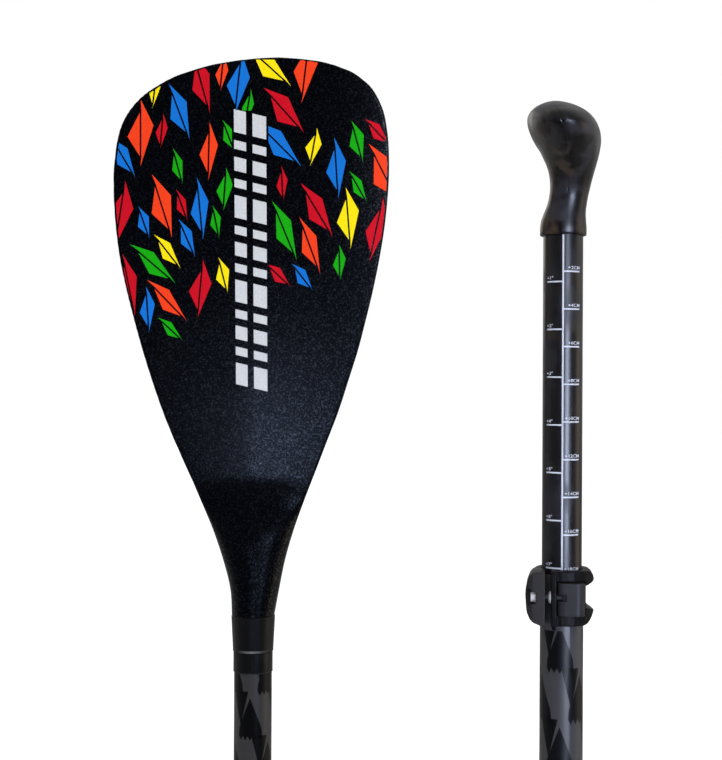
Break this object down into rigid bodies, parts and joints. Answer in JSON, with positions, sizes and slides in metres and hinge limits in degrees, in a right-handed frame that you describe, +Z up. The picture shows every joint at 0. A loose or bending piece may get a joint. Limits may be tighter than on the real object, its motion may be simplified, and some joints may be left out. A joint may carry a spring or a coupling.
{
  "type": "adjustable take-apart paddle",
  "caption": "Adjustable stand-up paddle taken apart: blade section and handle section standing side by side, with lever clamp and snap catch.",
  "frame": {"origin": "centre of the flat foot of the blade section's spigot, on that section's shaft axis", "axes": "+Z runs up both shafts, blade and grip up; the decorated blade face looks towards -Y; +X runs from the blade section towards the handle section, which stands turned 8.64 degrees about its own axis"},
  "size_m": [0.2772, 0.1541, 0.789],
  "materials": {
    "blade": "satin black moulded blade with printed colour shapes",
    "sleeve": "smooth black shrink sleeve",
    "shaft": "dark shaft with tone-on-tone facets",
    "tube": "satin charcoal tube with a printed white scale",
    "nylon": "moulded charcoal nylon",
    "lever": "moulded grey nylon",
    "grip": "semi-gloss charcoal palm grip",
    "steel": "plain stainless steel",
    "foam": "closed-cell foam",
    "rubber": "soft black seal"
  },
  "bodies": {
    "blade_section": {"blade": "blade", "neck_sleeve": "sleeve", "neck_band": "sleeve", "lower_shaft": "shaft", "shaft_seal_ring": "rubber", "neck_float_plug": "foam", "ferrule_spigot": "tube", "spigot_plug": "nylon", "spigot_bulkhead": "foam", "snap_spring_seat": "steel"},
    "snap_catch": {"snap_button": "steel", "snap_spring_leaf": "steel"},
    "handle_section": {"upper_shaft": "shaft", "socket_ring": "nylon", "shaft_float_plug": "foam", "clamp_collar": "nylon", "lever_pin": "steel", "screw_washer": "steel", "cup_washer": "steel"},
    "lever": {"clamp_lever": "lever"},
    "tension_screw": {"clamp_screw": "steel"},
    "extension_slider": {"extension_glide": "nylon"},
    "extension": {"extension_tube": "tube", "grip_palm_shell": "grip", "grip_finger_shell": "grip", "grip_core": "nylon"}
  },
  "joints": [
    {"name": "section_pull", "type": "slide", "parent": "blade_section", "child": "handle_section", "axis": [0, 0, 1], "range_m": [0, 0.075]},
    {"name": "snap_press", "type": "hinge", "parent": "blade_section", "child": "snap_catch", "pos_m": [0, -0.00698, 0.074], "axis": [1, 0, 0], "range_deg": [0, 4], "stiffness_Nm_per_rad": 7},
    {"name": "extension_slide", "type": "slide", "parent": "handle_section", "child": "extension_slider", "axis": [0, 0, 1], "range_m": [-0.178, 0.02]},
    {"name": "grip_turn", "type": "hinge", "parent": "extension_slider", "child": "extension", "pos_m": [0.174, -0.1, 0.5], "axis": [0, 0, 1], "continuous": true},
    {"name": "lever_open", "type": "hinge", "parent": "handle_section", "child": "lever", "pos_m": [0.1733, -0.11696, 0.4852], "axis": [0, 0, -1], "range_deg": [0, 70]},
    {"name": "screw_turn", "type": "hinge", "parent": "handle_section", "child": "tension_screw", "pos_m": [0.1733, -0.11696, 0.4861], "axis": [0.9887, -0.1502, 0], "continuous": true}
  ]
}
